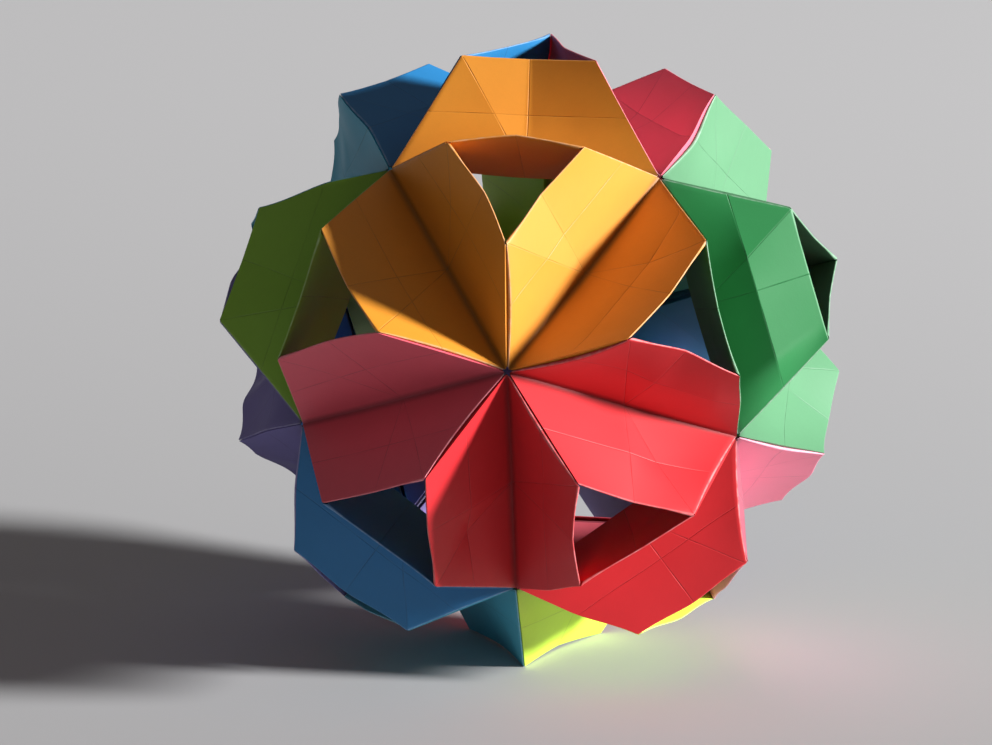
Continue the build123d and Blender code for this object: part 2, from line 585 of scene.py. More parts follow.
@dataclass(frozen=True)
class Nudge:
    """A corner of the ball that stands off its true place, and draws the paper round it along.

    Attributes:
        corner: its true place.
        shift: how far off that it stands.
        reach: how far from the corner the paper is drawn along.
    """

    corner: Vector
    shift: Vector
    reach: float = 15.0 * MM

    def pull(self, point: Vector) -> Vector:
        """How far a point of the true ball is drawn along."""
        away = (point - self.corner).length / self.reach
        return self.shift * max(0, 1 - away * away) ** 2


@dataclass(frozen=True)
class Settling:
    """How the whole ball has eased out of its true form. The rim that it rests on stays put.

    Attributes:
        nudges: the corners that stand off their places.
        drift: how far the slow waves of the noise can draw the paper.
        wave: length of those waves.
        grip_height: height above the floor from which the drift is full.
        start: where in the noise it is read.
    """

    nudges: tuple[Nudge, ...]
    drift: float = 0.45 * MM
    wave: float = 42.0 * MM
    grip_height: float = 14.0 * MM
    start: Vector = field(default_factory=lambda: Vector((3.1, 7.7, 1.9)))

    def moved(self, point: Vector) -> Vector:
        """Where a point of the true ball has moved to.

        Args:
            point: the point of the true ball.

        Returns:
            The point where the paper is now.
        """
        grip = min(max(point.z / self.grip_height, 0), 1)
        drift = noise.noise_vector(point / self.wave + self.start) * self.drift * grip
        return sum((nudge.pull(point) for nudge in self.nudges), point + drift)


@dataclass(frozen=True)
class Unit:
    """One folded sheet, set between two sunken points of the ball.

    Attributes:
        name: the name of the node that it stands in for.
        tone: the colour of its paper.
        place: where its valley lies.
        wings: the shapes of its two wings.
        number: its place in the list of units.
        folds: sizes of the sheet and its folds.
        unit_stride: how far apart in the noise two units read their ripple.
        wing_stride: how far apart in the noise its two wings do.
        ripple_level: the level of the noise that all of them read it at.
        weld: how near two points are that become one along the valley.
    """

    name: str
    tone: Tone
    place: Matrix
    wings: tuple[WingShape, WingShape]
    number: int
    folds: SheetFolds
    unit_stride: float = 5.3
    wing_stride: float = 8.1
    ripple_level: float = 2.7
    weld: float = 0.01 * MM

    def build(self, settling: Settling) -> bpy.types.Object:
        """Makes the unit's mesh and its paper's thickness.

        Args:
            settling: how the whole ball has eased out of shape.

        Returns:
            The finished piece, at the origin, with its place in its mesh.
        """
        bm = bmesh.new()
        for half, shape in enumerate(self.wings):
            spot = (self.number * self.unit_stride, half * self.wing_stride, self.ripple_level)
            part = Wing(self.folds, shape, Vector(spot)).build()
            part.transform(Matrix.Rotation(math.pi * half, 4, "Z"))
            carrier = bpy.data.meshes.new("wing")
            part.to_mesh(carrier)
            part.free()
            bm.from_mesh(carrier)
            bpy.data.meshes.remove(carrier)
        bmesh.ops.remove_doubles(bm, verts=bm.verts, dist=self.weld)
        for vert in bm.verts:
            vert.co = settling.moved(self.place @ vert.co)
        mesh = bpy.data.meshes.new(self.name)
        bm.to_mesh(mesh)
        bm.free()
        piece = bpy.data.objects.new(f"{self.name}_paper", mesh)
        bpy.context.scene.collection.objects.link(piece)
        thickness = piece.modifiers.new("paper", "SOLIDIFY")
        thickness.thickness = self.folds.paper
        thickness.offset = -1
        return piece


class NodeTable:
    """Adds nodes to a tree and joins them up."""

    def __init__(self, tree: bpy.types.NodeTree) -> None:
        """Starts work on a tree."""
        self.tree = tree

    @property
    def ends(self) -> tuple[bpy.types.Node, bpy.types.Node]:
        """The nodes by which a group's values come in and go out."""
        return self.tree.nodes["start"], self.tree.nodes["finish"]

    def add(self, kind: str, feeds: dict | None = None, **settings: object) -> bpy.types.Node:
        """Adds one node.

        Args:
            kind: the node's type.
            feeds: what each named input is fed, which is a socket or a plain value.
            settings: values of the node's own settings.

        Returns:
            The node.
        """
        node = self.tree.nodes.new(kind)
        for name, value in settings.items():
            setattr(node, name, value)
        for name, value in (feeds or {}).items():
            self.feed(node.inputs[name], value)
        return node

    def feed(self, socket: bpy.types.NodeSocket, value: object) -> None:
        """Gives an input a link from another node's output, or a value of its own.

        Args:
            socket: the input.
            value: the other node's output, or a plain value.
        """
        if isinstance(value, bpy.types.NodeSocket):
            self.tree.links.new(value, socket)
        else:
            socket.default_value = value

    def math(self, operation: str, *terms: object) -> bpy.types.NodeSocket:
        """Adds a Math node.

        Args:
            operation: what it works out.
            terms: what its inputs are fed, in order.

        Returns:
            Its output.
        """
        node = self.add("ShaderNodeMath", operation=operation)
        for socket, term in zip(node.inputs, terms):
            self.feed(socket, term)
        return node.outputs[0]

    def mask(self, value: object, near: float, far: float) -> bpy.types.NodeSocket:
        """Adds a smooth mask of a distance.

        Args:
            value: the distance.
            near: the distance up to which the mask is 1.
            far: the distance past which it is 0.

        Returns:
            The mask.
        """
        feeds = {"Value": value, "From Min": near, "From Max": far, "To Min": 1.0, "To Max": 0.0}
        node = self.add("ShaderNodeMapRange", feeds, interpolation_type="SMOOTHSTEP")
        return node.outputs["Result"]

    def mix(self, factor: object, first: object, second: object) -> bpy.types.NodeSocket:
        """Mixes two colours.

        Args:
            factor: the share of the second colour.
            first: the colour that gives way.
            second: the colour that takes its place.

        Returns:
            The mixed colour.
        """
        node = self.add("ShaderNodeMix", data_type="RGBA")
        # The sockets for colours come after those for numbers and directions
        for index, value in ((0, factor), (6, first), (7, second)):
            self.feed(node.inputs[index], value)
        return node.outputs[2]

    def scaled(self, colour: bpy.types.NodeSocket, share: object) -> bpy.types.NodeSocket:
        """Scales a colour's light.

        Args:
            colour: the colour.
            share: what its light is multiplied by.

        Returns:
            The scaled colour.
        """
        node = self.add("ShaderNodeVectorMath", operation="SCALE")
        self.feed(node.inputs[0], colour)
        self.feed(node.inputs["Scale"], share)
        return node.outputs[0]

    def noise(self, place: object, scale: float, detail: float = 3.0) -> bpy.types.NodeSocket:
        """A noise pattern's value, from 0 to 1 about a half."""
        feeds = {"Vector": place, "Scale": scale, "Detail": detail}
        return self.add("ShaderNodeTexNoise", feeds).outputs[0]


def shader_group(name: str, inputs: dict[str, object], outputs: dict[str, str]) -> NodeTable:
    """Starts a shader node group.

    Args:
        name: the group's name.
        inputs: each input's name and its default value, which is a number or a colour.
        outputs: each output's name and socket type.

    Returns:
        A table on the group's tree. Its ends are the nodes named start and finish.
    """
    tree = bpy.data.node_groups.new(name, "ShaderNodeTree")
    for label, value in inputs.items():
        kind = "NodeSocketFloat" if isinstance(value, float) else "NodeSocketColor"
        tree.interface.new_socket(label, in_out="INPUT", socket_type=kind).default_value = value
    for label, kind in outputs.items():
        tree.interface.new_socket(label, in_out="OUTPUT", socket_type=kind)
    table = NodeTable(tree)
    table.add("NodeGroupInput", name="start")
    table.add("NodeGroupOutput", name="finish")
    return table


@dataclass(frozen=True)
class PaperGroups:
    """Effects that every colour of the paper shares.

    Attributes:
        folds: sizes of the sheet and its folds.
        grain_size: size of the finest grain.
        thread_size: size of the drawn-out threads of fibre.
        mottle_size: size of the mottle.
        cloud_size: size of the cloudiness.
        line_width: how far from its middle a crease line reaches.
        valley_shade_width: how far from the valley the painted shade of the fold itself reaches.
        hollow_shade_width: how far from the valley the broader painted shade of the hollow reaches.
        grain_detail: how finely the grain is broken up.
        thread_detail: how finely the threads are.
        cloud_detail: how finely the cloudiness is.
        patch_limits: the noise's values at which a patch begins and is full.
        thread_stretch: how closely the threads follow each other along the three axes.
        thread_height: height of the threads as a share of the grain's.
        hollow_shade_share: painted shade in the wide hollow, as a share of that in the valley.
        shade_light_share: share of its light that the paper keeps in the full painted valley shade.
        crease_shade_light: share of its light that the paper keeps in a crease line's painted shade.
        line_least: how strong a crease line is where it is weakest.
        sheen_least: how strong the painted highlight of an edge is where it is weakest.
        rim_sheen: limits of the painted highlight at a free edge, as shares of the turn.
        leg_sheen: limits of the painted highlight at a pocket leg.
    """

    folds: SheetFolds
    grain_size: float = 0.35 * MM
    thread_size: float = 1.7 * MM
    mottle_size: float = 5.0 * MM
    cloud_size: float = 18.0 * MM
    line_width: float = 0.17 * MM
    valley_shade_width: float = 1.8 * MM
    hollow_shade_width: float = 9.0 * MM
    grain_detail: float = 4.0
    thread_detail: float = 5.0
    cloud_detail: float = 1.0
    patch_limits: tuple[float, float] = (0.38, 0.62)
    thread_stretch: tuple[float, float, float] = (1.0, 3.2, 0.7)
    thread_height: float = 0.6
    hollow_shade_share: float = 0.4
    shade_light_share: float = 0.1
    crease_shade_light: float = 0.45
    line_least: float = 0.35
    sheen_least: float = 0.3
    rim_sheen: tuple[float, float] = (0.12, 0.42)
    leg_sheen: tuple[float, float] = (0.05 * MM, 0.28 * MM)

    def sheet_place(self, table: NodeTable) -> tuple[bpy.types.NodeSocket, bpy.types.NodeSocket]:
        """Adds the place on the flat sheet, in metres.

        Args:
            table: the tree that it is added to.

        Returns:
            The place along the valley and the distance from it.
        """
        layout = table.add("ShaderNodeUVMap", uv_map=UV_NAME).outputs[0]
        flat = table.add("ShaderNodeSeparateXYZ", {"Vector": layout})
        along = table.math("MULTIPLY_ADD", flat.outputs[0], UV_SPAN, -UV_SPAN / 2)
        return along, table.math("MULTIPLY", flat.outputs[1], UV_SPAN)

    def patches(self, table: NodeTable, size: float, least: float) -> bpy.types.NodeSocket:
        """A mask with blurred edges that comes and goes over the paper.

        Args:
            table: the tree that it is added to.
            size: the size of its patches.
            least: its value where it is weakest.

        Returns:
            The mask.
        """
        place = table.add("ShaderNodeTexCoord").outputs["Object"]
        value = table.noise(place, 1 / size)
        start, full = self.patch_limits
        feeds = {"Value": value, "From Min": start, "From Max": full, "To Min": least, "To Max": 1.0}
        return table.add("ShaderNodeMapRange", feeds).outputs[0]

    def fibres(self) -> bpy.types.NodeTree:
        """The sheet's fibres: a faint cloudiness, a fine mottle, drawn-out threads and a soft grain.

        Returns:
            The group, which puts out the clouded colour and the height of the fibres.
        """
        table = shader_group(
            "paper_fibres",
            {"Color": PLAIN, "Mottle": 0.06},
            {"Color": "NodeSocketColor", "Height": "NodeSocketFloat"},
        )
        start, finish = table.ends
        place = table.add("ShaderNodeTexCoord").outputs["Object"]
        grain = table.noise(place, 1 / self.grain_size, self.grain_detail)
        mottle = table.noise(place, 1 / self.mottle_size)
        cloud = table.noise(place, 1 / self.cloud_size, self.cloud_detail)
        stretch = table.add("ShaderNodeMapping", {"Vector": place, "Scale": self.thread_stretch})
        thread = table.noise(stretch.outputs[0], 1 / self.thread_size, self.thread_detail)
        coarse = table.math("ADD", cloud, thread)
        total = table.math("ADD", table.math("ADD", grain, mottle), coarse)
        # Each of the four patterns lies about a half, so their sum lies about two
        about_none = table.math("SUBTRACT", total, 2.0)
        light = table.math("MULTIPLY_ADD", about_none, start.outputs["Mottle"], 1.0)
        table.feed(finish.inputs["Color"], table.scaled(start.outputs["Color"], light))
        height = table.math("MULTIPLY_ADD", thread, self.thread_height, grain)
        table.feed(finish.inputs["Height"], height)
        return table.tree

    def fold_lines_and_shading(self) -> bpy.types.NodeTree:
        """Thin crease lines with painted light: shade along each line and a highlight in places.

        Painted shade also darkens the paper toward the valley, most of all in the fold itself.

        Returns:
            The group, which puts out the painted colour and the height of the crease lines.
        """
        table = shader_group(
            "fold_lines_and_shading",
            {"Color": PLAIN, "Fold Shade": 0.4, "Sheen": 0.2},
            {"Color": "NodeSocketColor", "Height": "NodeSocketFloat"},
        )
        start, finish = table.ends
        along, up = self.sheet_place(table)
        angle = self.folds.leg_angle
        across = table.math("MULTIPLY", along, math.sin(angle))
        from_crease = table.math("MULTIPLY_ADD", up, math.cos(angle), across)
        from_half = table.math("SUBTRACT", up, self.folds.wing_height / 2)
        on_front = table.math("LESS_THAN", up, self.folds.front_top)
        left_half = table.math("LESS_THAN", along, 0.0)
        centre, half, crease = (
            table.mask(table.math("ABSOLUTE", distance), 0.0, self.line_width)
            for distance in (along, from_half, from_crease)
        )
        crease = table.math("MULTIPLY", crease, table.math("MULTIPLY", on_front, left_half))
        line = table.math("MAXIMUM", centre, table.math("MAXIMUM", half, crease))
        line = table.math("MULTIPLY", line, self.patches(table, self.mottle_size, self.line_least))
        # Painted shade: the paper darkens toward the valley, most of all in the fold itself
        valley_shade_mask = table.mask(up, 0.0, self.valley_shade_width)
        hollow_shade_mask = table.mask(up, 0.0, self.hollow_shade_width)
        valley_shade = table.math("MULTIPLY_ADD", hollow_shade_mask, self.hollow_shade_share, valley_shade_mask)
        valley_shade = table.math("MULTIPLY", valley_shade, start.outputs["Fold Shade"])
        shaded_colour = table.scaled(start.outputs["Color"], self.shade_light_share)
        paper = table.mix(valley_shade, start.outputs["Color"], shaded_colour)
        # Painted shade along each crease line
        crease_shading = table.math("MULTIPLY", line, start.outputs["Fold Shade"])
        colour = table.mix(crease_shading, paper, table.scaled(paper, self.crease_shade_light))
        # Painted highlight: the crease lines pale toward white in patches
        crease_sheen = table.math("MULTIPLY", line, self.patches(table, self.thread_size, 0.0))
        crease_sheen = table.math("MULTIPLY", crease_sheen, start.outputs["Sheen"])
        table.feed(finish.inputs["Color"], table.mix(crease_sheen, colour, WHITE))
        table.feed(finish.inputs["Height"], table.math("MULTIPLY", line, -1.0))
        return table.tree

    def edge_highlight(self) -> bpy.types.NodeTree:
        """Painted highlight along the folded edges: a patchy band of the colour paled toward white.

        Returns:
            The group, which puts out the colour with its painted highlight.
        """
        table = shader_group(
            "edge_highlight",
            {"Color": PLAIN, "Sheen": 0.35},
            {"Color": "NodeSocketColor"},
        )
        start, finish = table.ends
        folds = self.folds
        along, up = self.sheet_place(table)
        # Painted highlight along the turn over the free edge and along the pocket leg, in patches
        from_rim = table.math("SUBTRACT", up, folds.front_top + folds.rim_length / 2)
        rim_limits = (folds.rim_length * share for share in self.rim_sheen)
        rim = table.mask(table.math("ABSOLUTE", from_rim), *rim_limits)
        leg_place = table.math("MULTIPLY_ADD", up, 1 / math.tan(folds.leg_angle), -folds.length / 2)
        from_leg = table.math("ABSOLUTE", table.math("SUBTRACT", along, leg_place))
        on_front = table.math("LESS_THAN", up, folds.front_top)
        leg = table.math("MULTIPLY", table.mask(from_leg, *self.leg_sheen), on_front)
        edge_shine = table.math("MAXIMUM", rim, leg)
        edge_shine = table.math("MULTIPLY", edge_shine, self.patches(table, self.thread_size, self.sheen_least))
        edge_shine = table.math("MULTIPLY", edge_shine, start.outputs["Sheen"])
        table.feed(finish.inputs["Color"], table.mix(edge_shine, start.outputs["Color"], WHITE))
        return table.tree


def linear(tone: str) -> tuple[float, float, float, float]:
    """Turns a colour as it shows on a screen into light, by the usual sRGB curve.

    Args:
        tone: the colour as six hex digits.

    Returns:
        Its red, green and blue light from 0 to 1, and an alpha of 1.
    """
    parts = [int(tone[i:i + 2], 16) / 255 for i in (0, 2, 4)]
    light = [p / 12.92 if p <= 0.04045 else ((p + 0.055) / 1.055) ** 2.4 for p in parts]
    return (*light, 1.0)


@dataclass(frozen=True)
class PaperFinish:
    """Smooth memo paper dyed through in one colour, thin enough to let some light through.

    Attributes:
        dye: the colour as six hex digits.
        roughness: how far the surface spreads a reflection.
        gloss: how strongly it reflects.
        glow: share of the light that goes through the sheet.
        mottle: how cloudy the dye is.
        fold_shade: how dark the painted shade is in the valley and along the crease lines.
        edge_sheen: how pale the painted highlight along the folded edges is.
        line_sheen_share: share of that painted highlight that the crease lines take.
        grain_strength: how strongly the fibres turn the surface.
        grain_height: height of the fibres.
        groove_strength: how strongly the pressed lines turn the surface.
        groove_height: depth of the pressed lines.
    """

    dye: str
    roughness: float = 0.54
    gloss: float = 0.7
    glow: float = 0.05
    mottle: float = 0.05
    fold_shade: float = 0.45
    edge_sheen: float = 0.2
    line_sheen_share: float = 0.08
    grain_strength: float = 0.25
    grain_height: float = 0.03 * MM
    groove_strength: float = 0.8
    groove_height: float = 0.08 * MM

    def coloured(self, table: NodeTable, groups: dict[str, bpy.types.NodeTree]) -> dict:
        """Adds the shared effects to a material.

        Args:
            table: the material's tree.
            groups: the shared effects by name.

        Returns:
            The sockets of the finished colour and of the surface's direction.
        """
        dyed = {"Color": linear(self.dye), "Mottle": self.mottle}
        fibres = table.add("ShaderNodeGroup", dyed, node_tree=groups["fibres"])
        # Painted shade in the valley and on crease lines, then painted highlights on the edges
        crease_shading = {
            "Color": fibres.outputs["Color"],
            "Fold Shade": self.fold_shade,
            "Sheen": self.edge_sheen * self.line_sheen_share,
        }
        lines = table.add("ShaderNodeGroup", crease_shading, node_tree=groups["fold_lines_and_shading"])
        edge_shine = {"Color": lines.outputs["Color"], "Sheen": self.edge_sheen}
        edges = table.add("ShaderNodeGroup", edge_shine, node_tree=groups["edge_highlight"])
        grain = table.add("ShaderNodeBump", {
            "Height": fibres.outputs["Height"],
            "Strength": self.grain_strength,
            "Distance": self.grain_height,
        })
        groove = table.add("ShaderNodeBump", {
            "Height": lines.outputs["Height"],
            "Normal": grain.outputs[0],
            "Strength": self.groove_strength,
            "Distance": self.groove_height,
        })
        return {"Color": edges.outputs["Color"], "Normal": groove.outputs[0]}

    def material(self, name: str, groups: dict[str, bpy.types.NodeTree]) -> bpy.types.Material:
        """Makes the material.

        Args:
            name: the material's name.
            groups: the shared effects by name.

        Returns:
            The material, with its shaders joined to its surface.
        """
        material = bpy.data.materials.new(name)
        material.use_nodes = True
        material.node_tree.nodes.clear()
        table = NodeTable(material.node_tree)
        paper = self.coloured(table, groups)
        face = table.add("ShaderNodeBsdfPrincipled", {
            "Base Color": paper["Color"],
            "Roughness": self.roughness,
            "Specular IOR Level": self.gloss,
            "Normal": paper["Normal"],
        })
        through = table.add("ShaderNodeBsdfTranslucent", paper)
        both = table.add("ShaderNodeMixShader", {"Fac": self.glow})
        table.feed(both.inputs[1], face.outputs[0])
        table.feed(both.inputs[2], through.outputs[0])
        finish = table.add("ShaderNodeOutputMaterial")
        table.feed(finish.inputs["Surface"], both.outputs[0])
        return material


FINISHES = {
    Tone.ORANGE: PaperFinish("EE9A28"),
    Tone.RED: PaperFinish("DC262E", gloss=0.55),
    Tone.ROSE: PaperFinish("F46678"),
    Tone.CRIMSON: PaperFinish("FF7A90", glow=0.12),
    Tone.PINK: PaperFinish("FFA4BC", gloss=0.4),
    Tone.YELLOW: PaperFinish("D6F84C"),
    Tone.LIME: PaperFinish("84B430"),
    Tone.LIGHT_GREEN: PaperFinish("5F986E"),
    # Dark green takes a stronger painted shade in its valley and along its crease lines
    Tone.DARK_GREEN: PaperFinish("1E8242", gloss=0.6, fold_shade=0.6),
    Tone.TEAL: PaperFinish("50B2CC"),
    Tone.LIGHT_BLUE: PaperFinish("46B4D4", gloss=0.4),
    Tone.BLUE: PaperFinish("1E7CB8"),
    Tone.PURPLE: PaperFinish("8E86C6"),
}


@dataclass(frozen=True)
class Ring:
    """Three sunken points at one level, by the side that each is on."""

    radius: float
    level: float
    stations: dict[str, float]


# Distances on an icosahedron that stands on a face, in its edges: its widest corners from the
# upright, any corner from its centre, those widest corners above its centre, and a face above it
WIDE_RADIUS = (1 + math.sqrt(5)) / (2 * math.sqrt(3))
CORNER_RADIUS = math.sqrt(10 + 2 * math.sqrt(5)) / 4
WIDE_LEVEL = math.sqrt(CORNER_RADIUS**2 - WIDE_RADIUS**2)
FACE_LEVEL = (3 * math.sqrt(3) + math.sqrt(15)) / 12

# Rings of sunken points from the floor upwards, in icosahedron edges and degrees
RINGS = {
    "foot": Ring(1 / math.sqrt(3), -FACE_LEVEL, {"front": 0, "right": 120, "left": 240}),
    "low": Ring(WIDE_RADIUS, -WIDE_LEVEL, {"right": 60, "back": 180, "left": 300}),
    "high": Ring(WIDE_RADIUS, WIDE_LEVEL, {"front": 0, "right": 120, "left": 240}),
    "top": Ring(1 / math.sqrt(3), FACE_LEVEL, {"right": 60, "back": 180, "left": 300}),
}

# Every unit, by the two sunken points that it joins and the colour of its sheet
UNITS = (
    ("high front", "top left", Tone.ORANGE),
    ("high front", "top right", Tone.ORANGE),
    ("top left", "top right", Tone.ORANGE),
    ("high front", "low right", Tone.RED),
    ("high front", "foot front", Tone.RED),
    ("low right", "foot front", Tone.RED),
    ("high front", "low left", Tone.ROSE),
    ("low left", "foot front", Tone.BLUE),
    ("top left", "low left", Tone.LIME),
    ("top right", "low right", Tone.DARK_GREEN),
    ("top left", "top back", Tone.BLUE),
    ("top left", "high left", Tone.LIGHT_BLUE),
    ("top right", "top back", Tone.CRIMSON),
    ("top right", "high right", Tone.LIGHT_GREEN),
    ("low right", "high right", Tone.LIGHT_GREEN),
    ("low right", "foot right", Tone.PINK),
    ("foot front", "foot right", Tone.YELLOW),
    ("foot front", "foot left", Tone.TEAL),
    ("low left", "high left", Tone.PURPLE),
    ("low left", "foot left", Tone.PURPLE),
    ("top back", "high right", Tone.PINK),
    ("high right", "foot right", Tone.DARK_GREEN),
    ("foot right", "foot left", Tone.ROSE),
    ("foot left", "high left", Tone.BLUE),
    ("high left", "top back", Tone.TEAL),
    ("low back", "top back", Tone.YELLOW),
    ("low back", "high right", Tone.LIGHT_BLUE),
    ("low back", "foot right", Tone.PURPLE),
    ("low back", "foot left", Tone.PURPLE),
    ("low back", "high left", Tone.LIME),
)

# Wings whose shape the photograph shows, by the unit's two points and the point they lean toward.
# Each row is bow, belly, peak, middle, corner, half, lift and slip in millimetres
SEEN_WINGS = {
    ("high front", "top left", "top right"): (0.8, 0.2, 0.9, 0.5, 0.3, 0.0, 0.1, 0.1),
    ("high front", "top left", "low left"): (0.9, 0.1, 0.6, 0.3, 0.1, 0.0, 0.3, 0.4),
    ("high front", "top right", "top left"): (0.1, 0.0, 1.2, 0.5, -0.2, 0.0, 0.5, 0.6),
    ("high front", "top right", "low right"): (0.6, 0.1, 0.7, 0.3, 0.5, 0.8, 0.1, 0.2),
    ("high front", "low right", "top right"): (0.4, 0.0, 0.8, 0.1, 1.1, -0.6, 0.6, 1.0),
    ("high front", "low right", "foot front"): (0.2, 0.0, 0.8, 0.0, 0.7, 0.0, 0.7, 0.7),
    ("high front", "foot front", "low right"): (-0.6, 0.0, -0.9, -0.3, -0.1, 0.0, 0.6, 0.3),
    ("high front", "foot front", "low left"): (0.2, 0.0, 0.1, -0.4, 1.3, 0.0, 0.2, 0.3),
    ("high front", "low left", "foot front"): (0.4, 0.1, 0.0, 0.0, 0.0, 0.0, 0.2, 0.8),
    ("high front", "low left", "top left"): (1.1, 0.2, 0.2, 0.1, 0.0, 0.0, 0.2, 0.2),
    ("top left", "top right", "high front"): (-0.7, -0.2, -1.2, -0.6, 0.4, 0.0, 0.2, 0.2),
    ("top left", "high left", "top back"): (0.2, 0.0, 0.9, 0.4, 0.3, 0.3, 0.1, 0.2),
    ("top left", "top right", "top back"): (0.0, 0.0, 2.1, 1.8, 0.7, 0.0, 0.1, 0.1),
    ("top left", "low left", "high front"): (0.2, 0.1, 0.2, -0.4, 0.3, -0.3, 0.2, 0.2),
    ("top right", "low right", "high front"): (0.8, 0.1, 0.7, 0.3, 0.4, 0.2, 0.3, 0.6),
    ("top right", "low right", "high right"): (0.0, 0.0, 0.0, -0.6, -0.3, -3.0, 0.1, 0.2),
    ("top right", "top back", "high right"): (0.2, 0.0, 0.2, 0.4, 0.3, 1.2, 0.2, 0.2),
    ("top right", "top back", "top left"): (0.4, 0.1, 0.5, 0.3, 0.2, 0.0, 0.1, 0.6),
    ("top right", "high right", "top back"): (0.2, 0.1, 0.3, 0.2, -0.2, 0.1, 0.5, 1.2),
    ("low right", "foot front", "high front"): (0.2, 0.0, 0.3, -0.5, 0.3, -0.2, 0.2, 0.2),
    ("low right", "foot front", "foot right"): (0.2, 0.0, 0.2, 0.4, 0.2, 0.0, 0.4, 0.9),
    ("low right", "foot right", "high right"): (0.4, 0.1, 0.3, 0.1, 0.2, 0.0, 0.4, 0.5),
    ("low left", "foot front", "high front"): (0.3, 0.0, 0.2, 0.0, 0.1, 0.0, 0.1, 0.2),
}

# Corners that the photograph shows off their true places, in millimetres to the right and up. Each
# is the top of the ridge at the first point, in the window that the three points lie round
OFF_CORNERS = {
    ("top left", "top back", "high left"): (-1.6, -1.0),
    ("high left", "top left", "top back"): (2.8, -0.4),
    ("top left", "low left", "high left"): (-0.8, -2.6),
    ("top right", "top back", "high right"): (-1.6, 0.8),
    ("low right", "high front", "top right"): (-0.8, -0.8),
    ("top back", "top left", "top right"): (2.0, -0.5),
    ("high right", "low right", "foot right"): (0.2, 1.2),
    ("low right", "high right", "foot right"): (-1.2, 0.6),
    ("low left", "foot left", "high left"): (2.0, -0.4),
    ("high left", "foot left", "low left"): (2.4, -1.8),
    ("high left", "low left", "top left"): (3.0, -0.6),
    ("foot left", "low left", "high left"): (3.0, 1.4),
    ("low left", "foot front", "foot left"): (1.0, 0.2),
    ("foot front", "foot left", "low left"): (2.0, 0.7),
    ("foot front", "foot right", "low right"): (0.0, 1.5),
    ("foot right", "foot front", "low right"): (0.0, 2.0),
    ("low right", "foot front", "foot right"): (-0.4, 0.6),
    ("foot right", "low right", "high right"): (-2.4, 0.4),
    ("foot front", "low left", "high front"): (0.9, 0.2),
    ("foot front", "low right", "high front"): (-0.2, 1.1),
}


